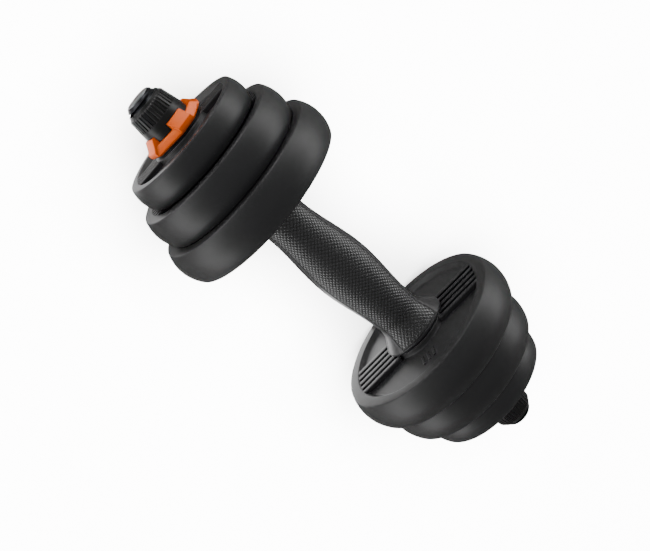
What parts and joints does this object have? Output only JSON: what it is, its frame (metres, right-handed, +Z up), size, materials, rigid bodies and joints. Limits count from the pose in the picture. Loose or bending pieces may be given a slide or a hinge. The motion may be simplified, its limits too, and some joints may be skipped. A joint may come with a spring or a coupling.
{
  "type": "adjustable dumbbell",
  "caption": "Adjustable dumbbell: padded oval grip, threaded bar ends, stacked rubber-covered weight plates in falling sizes, and a ribbed screw knob with a toothed lock ring at each end.",
  "frame": {"origin": "centre of the whole object, on the bar axis in the middle of the grip", "axes": "+X along the bar towards the right-hand plates; +Z up, square to the flat of the oval grip; +Y across the grip"},
  "size_m": [0.3274, 0.1272, 0.1272],
  "materials": {
    "bar_steel": "turned and faced bright steel",
    "fitting_steel": "zinc-plated steel",
    "thread_steel": "black-oxide steel with a rolled thread",
    "grip_plastic": "smooth moulded nylon",
    "grip_rubber": "satin rubber with a fine diamond pattern",
    "plate_iron": "bare cast iron",
    "plate_rubber": "smooth satin rubber",
    "knob_plastic": "fine matte moulded plastic",
    "lock_rubber": "smooth coloured rubber",
    "nut_brass": "cut brass"
  },
  "bodies": {
    "handle": {"bar": "bar_steel", "grip_shell_upper": "grip_plastic", "grip_shell_lower": "grip_plastic", "grip_pad_upper": "grip_rubber", "grip_pad_lower": "grip_rubber", "stop_collar_left": "fitting_steel", "stop_collar_right": "fitting_steel", "thread_sleeve_left": "thread_steel", "thread_sleeve_right": "thread_steel"},
    "large_plate_left": {"large_core_left": "plate_iron", "large_skin_left": "plate_rubber", "large_bush_left": "fitting_steel"},
    "medium_plate_left": {"medium_core_left": "plate_iron", "medium_skin_left": "plate_rubber", "medium_bush_left": "fitting_steel"},
    "small_plate_left": {"small_core_left": "plate_iron", "small_skin_left": "plate_rubber", "small_bush_left": "fitting_steel"},
    "washer_left": {"thrust_washer_left": "fitting_steel"},
    "knob_left": {"knob_left": "knob_plastic", "lock_ring_left": "lock_rubber", "nut_insert_left": "nut_brass"},
    "large_plate_right": {"large_core_right": "plate_iron", "large_skin_right": "plate_rubber", "large_bush_right": "fitting_steel"},
    "medium_plate_right": {"medium_core_right": "plate_iron", "medium_skin_right": "plate_rubber", "medium_bush_right": "fitting_steel"},
    "small_plate_right": {"small_core_right": "plate_iron", "small_skin_right": "plate_rubber", "small_bush_right": "fitting_steel"},
    "washer_right": {"thrust_washer_right": "fitting_steel"},
    "knob_right": {"knob_right": "knob_plastic", "lock_ring_right": "lock_rubber", "nut_insert_right": "nut_brass"}
  },
  "joints": [
    {"name": "large_plate_slide_left", "type": "slide", "parent": "handle", "child": "large_plate_left", "axis": [-1, 0, 0], "range_m": [0, 0.1021]},
    {"name": "medium_plate_slide_left", "type": "slide", "parent": "handle", "child": "medium_plate_left", "axis": [-1, 0, 0], "range_m": [0, 0.1081]},
    {"name": "small_plate_slide_left", "type": "slide", "parent": "handle", "child": "small_plate_left", "axis": [-1, 0, 0], "range_m": [0, 0.1141]},
    {"name": "washer_slide_left", "type": "slide", "parent": "handle", "child": "washer_left", "axis": [-1, 0, 0], "range_m": [0, 0.15]},
    {"name": "knob_turn_left", "type": "hinge", "parent": "washer_left", "child": "knob_left", "pos_m": [-0.139, 0, 0], "axis": [-1, 0, 0], "range_deg": [0, 9001]},
    {"name": "large_plate_slide_right", "type": "slide", "parent": "handle", "child": "large_plate_right", "axis": [1, 0, 0], "range_m": [0, 0.1021]},
    {"name": "medium_plate_slide_right", "type": "slide", "parent": "handle", "child": "medium_plate_right", "axis": [1, 0, 0], "range_m": [0, 0.1081]},
    {"name": "small_plate_slide_right", "type": "slide", "parent": "handle", "child": "small_plate_right", "axis": [1, 0, 0], "range_m": [0, 0.1141]},
    {"name": "washer_slide_right", "type": "slide", "parent": "handle", "child": "washer_right", "axis": [1, 0, 0], "range_m": [0, 0.15]},
    {"name": "knob_turn_right", "type": "hinge", "parent": "washer_right", "child": "knob_right", "pos_m": [0.139, 0, 0], "axis": [1, 0, 0], "range_deg": [0, 9001]}
  ],
  "couplings": [
    {"joint": "large_plate_slide_left", "follows": "washer_slide_left", "ratio": 0.68},
    {"joint": "medium_plate_slide_left", "follows": "washer_slide_left", "ratio": 0.72},
    {"joint": "small_plate_slide_left", "follows": "washer_slide_left", "ratio": 0.76},
    {"joint": "knob_turn_left", "follows": "washer_slide_left", "rad_per_m": 1047.2},
    {"joint": "large_plate_slide_right", "follows": "washer_slide_right", "ratio": 0.68},
    {"joint": "medium_plate_slide_right", "follows": "washer_slide_right", "ratio": 0.72},
    {"joint": "small_plate_slide_right", "follows": "washer_slide_right", "ratio": 0.76},
    {"joint": "knob_turn_right", "follows": "washer_slide_right", "rad_per_m": 1047.2}
  ]
}
